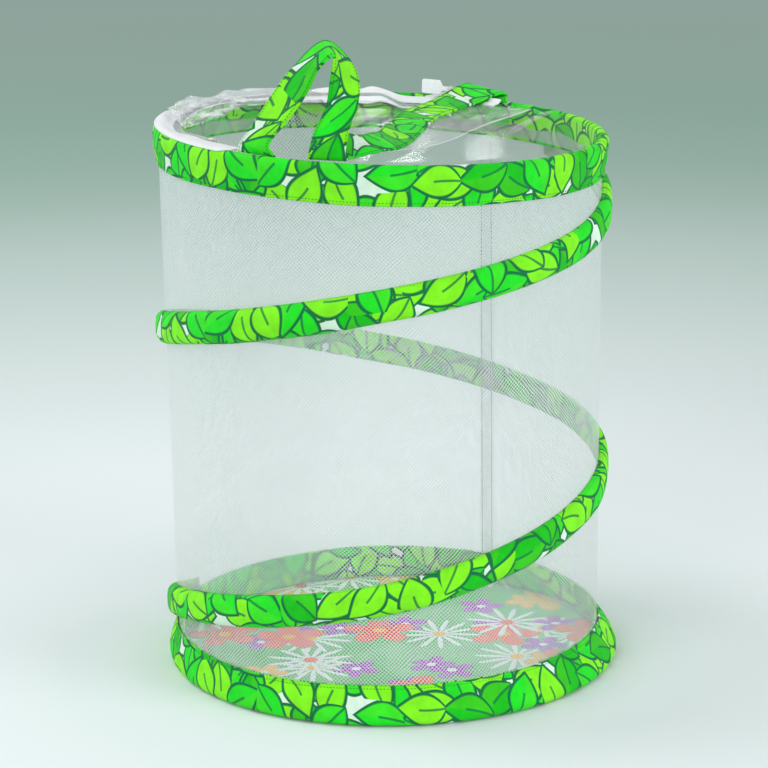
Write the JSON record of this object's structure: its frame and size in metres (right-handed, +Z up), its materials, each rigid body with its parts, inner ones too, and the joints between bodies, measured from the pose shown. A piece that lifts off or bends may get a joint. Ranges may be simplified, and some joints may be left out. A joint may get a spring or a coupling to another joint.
{
  "type": "butterfly habitat",
  "caption": "Pop-up net cylinder on sprung hoops and an outer spiral, with leaf-print edges, clear zipped lid, carry strap and printed floor.",
  "frame": {"origin": "middle of the floor panel's underside, on the surface that the habitat stands on", "axes": "+Z up the net cylinder; the front, where the strap's loop stands, faces -Y; +X to the right seen from the front"},
  "size_m": [0.2569, 0.2542, 0.3589],
  "materials": {
    "leaf_print": "woven polyester, printed with green leaves",
    "floor_print": "woven polyester, printed with small flowers",
    "net": "fine white knitted net",
    "white_tape": "white woven tape",
    "film": "clear glossy film",
    "zip_plastic": "off-white moulded plastic",
    "spring_steel": "bare spring steel"
  },
  "bodies": {
    "base": {"floor_panel": "floor_print", "base_binding": "leaf_print", "base_hoop_wire": "spring_steel", "base_hoop_ferrule": "spring_steel", "mesh_wall": "net", "wall_seam_tape": "white_tape", "spiral_binding": "leaf_print", "spiral_wire": "spring_steel"},
    "top": {"top_binding": "leaf_print", "top_hoop_wire": "spring_steel", "top_hoop_ferrule": "spring_steel", "lid_fixed_film": "film", "zipper_tape_ring": "white_tape", "zipper_chain_ring": "zip_plastic", "zipper_stop_rear": "zip_plastic", "zipper_stop_front": "zip_plastic", "zipper_end_tab": "white_tape", "carry_strap": "leaf_print"},
    "flap": {"lid_flap_film": "film", "zipper_tape_flap": "white_tape", "zipper_chain_flap": "zip_plastic"},
    "slider": {"zipper_slider": "zip_plastic"},
    "pull": {"slider_pull_tab": "white_tape"}
  },
  "joints": [
    {"name": "frame_collapse", "type": "slide", "parent": "base", "child": "top", "axis": [0, 0, 1], "range_m": [-0.232, 0], "stiffness_N_per_m": 25, "springref_m": 0.06, "deforming": ["mesh_wall", "wall_seam_tape", "spiral_binding", "spiral_wire"]},
    {"name": "lid_flap", "type": "hinge", "parent": "top", "child": "flap", "pos_m": [-0.0136, 0.00757, 0.29938], "axis": [0.5817, 0.8131, -0.0234], "range_deg": [0, 84]},
    {"name": "zip_slider", "type": "hinge", "parent": "top", "child": "slider", "pos_m": [-0.003, 0, 0.3], "axis": [0.0401, 0, 0.9992], "range_deg": [0, 144.5]},
    {"name": "pull_tab", "type": "hinge", "parent": "slider", "child": "pull", "pos_m": [0.03715, 0.10697, 0.30314], "axis": [0.3499, 0.9367, -0.0141], "range_deg": [0, 150]}
  ],
  "couplings": [
    {"joint": "zip_slider", "follows": "lid_flap", "ratio": 1.72}
  ]
}
